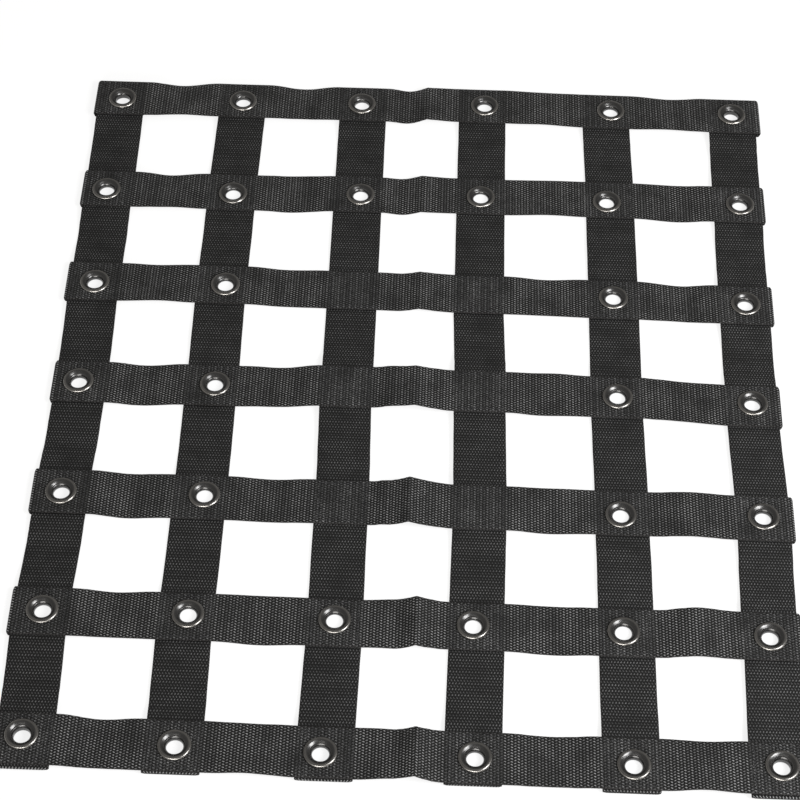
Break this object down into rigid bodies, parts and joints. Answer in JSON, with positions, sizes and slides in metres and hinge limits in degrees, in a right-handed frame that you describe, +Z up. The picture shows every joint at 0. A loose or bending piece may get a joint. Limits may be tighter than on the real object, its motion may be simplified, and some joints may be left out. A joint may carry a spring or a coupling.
{
  "type": "pallet rack net",
  "caption": "Rectangular guard net of black flat webbing, straps sewn where they cross, with metal eyelets set through the crossings, laid out flat.",
  "frame": {"origin": "on the surface that the net lies on, under the middle of its outline", "axes": "+X to the right along the straps across, +Y away along the straps down, +Z up from the surface"},
  "size_m": [0.7118, 0.84, 0.0157],
  "materials": {
    "webbing": "black woven polypropylene webbing, dull with small bright threads",
    "eyelet_metal": "blackened, smooth and half glossy, worn brighter at the rim"
  },
  "bodies": {
    "root": {"strap_across_1": "webbing", "strap_across_2": "webbing", "strap_across_3": "webbing", "strap_across_4": "webbing", "strap_across_5": "webbing", "strap_across_6": "webbing", "strap_across_7": "webbing", "strap_down_1": "webbing", "strap_down_2": "webbing", "strap_down_3": "webbing", "strap_down_4": "webbing", "strap_down_5": "webbing", "strap_down_6": "webbing", "eyelet_1_1": "eyelet_metal", "eyelet_1_2": "eyelet_metal", "eyelet_1_3": "eyelet_metal", "eyelet_1_4": "eyelet_metal", "eyelet_1_5": "eyelet_metal", "eyelet_1_6": "eyelet_metal", "eyelet_2_1": "eyelet_metal", "eyelet_2_2": "eyelet_metal", "eyelet_2_3": "eyelet_metal", "eyelet_2_4": "eyelet_metal", "eyelet_2_5": "eyelet_metal", "eyelet_2_6": "eyelet_metal", "eyelet_3_1": "eyelet_metal", "eyelet_3_2": "eyelet_metal", "eyelet_3_5": "eyelet_metal", "eyelet_3_6": "eyelet_metal", "eyelet_4_1": "eyelet_metal", "eyelet_4_2": "eyelet_metal", "eyelet_4_5": "eyelet_metal", "eyelet_4_6": "eyelet_metal", "eyelet_5_1": "eyelet_metal", "eyelet_5_2": "eyelet_metal", "eyelet_5_5": "eyelet_metal", "eyelet_5_6": "eyelet_metal", "eyelet_6_1": "eyelet_metal", "eyelet_6_2": "eyelet_metal", "eyelet_6_3": "eyelet_metal", "eyelet_6_4": "eyelet_metal", "eyelet_6_5": "eyelet_metal", "eyelet_6_6": "eyelet_metal", "eyelet_7_1": "eyelet_metal", "eyelet_7_2": "eyelet_metal", "eyelet_7_3": "eyelet_metal", "eyelet_7_4": "eyelet_metal", "eyelet_7_5": "eyelet_metal", "eyelet_7_6": "eyelet_metal"}
  },
  "joints": []
}
